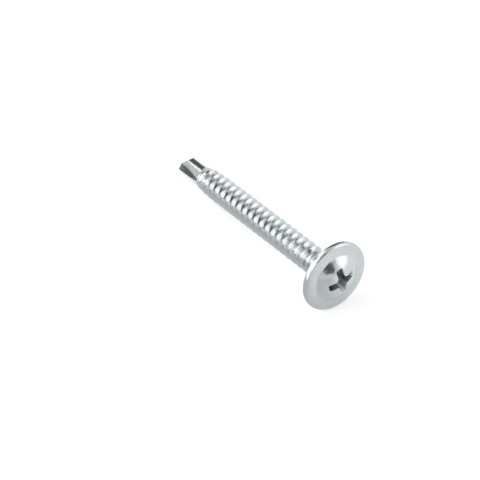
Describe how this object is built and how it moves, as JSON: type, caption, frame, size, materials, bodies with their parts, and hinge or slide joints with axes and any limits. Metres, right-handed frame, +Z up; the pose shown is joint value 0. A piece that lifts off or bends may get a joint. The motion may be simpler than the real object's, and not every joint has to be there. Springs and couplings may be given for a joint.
{
  "type": "self drilling screw",
  "caption": "Self drilling screw with a flanged pan head, cross recess and drill point, for fixing sheet metal without a pilot hole",
  "frame": {"origin": "On the plane the screw lies on, in the middle of the footprint of its bounding box", "axes": "+X runs along the screw towards its head, level with the plane it lies on; +Y is across it, +Z is up. The screw's own axis is 6.48 degrees off +X, because it rests on the flange and the drill point"},
  "size_m": [0.0394, 0.011, 0.011],
  "materials": {
    "zinc_plated_steel": "hardened carbon steel with a thin bright zinc plate, smooth and shiny, greyer in the thread and the recess"
  },
  "bodies": {
    "root": {"self_drilling_screw": "zinc_plated_steel"}
  },
  "joints": []
}
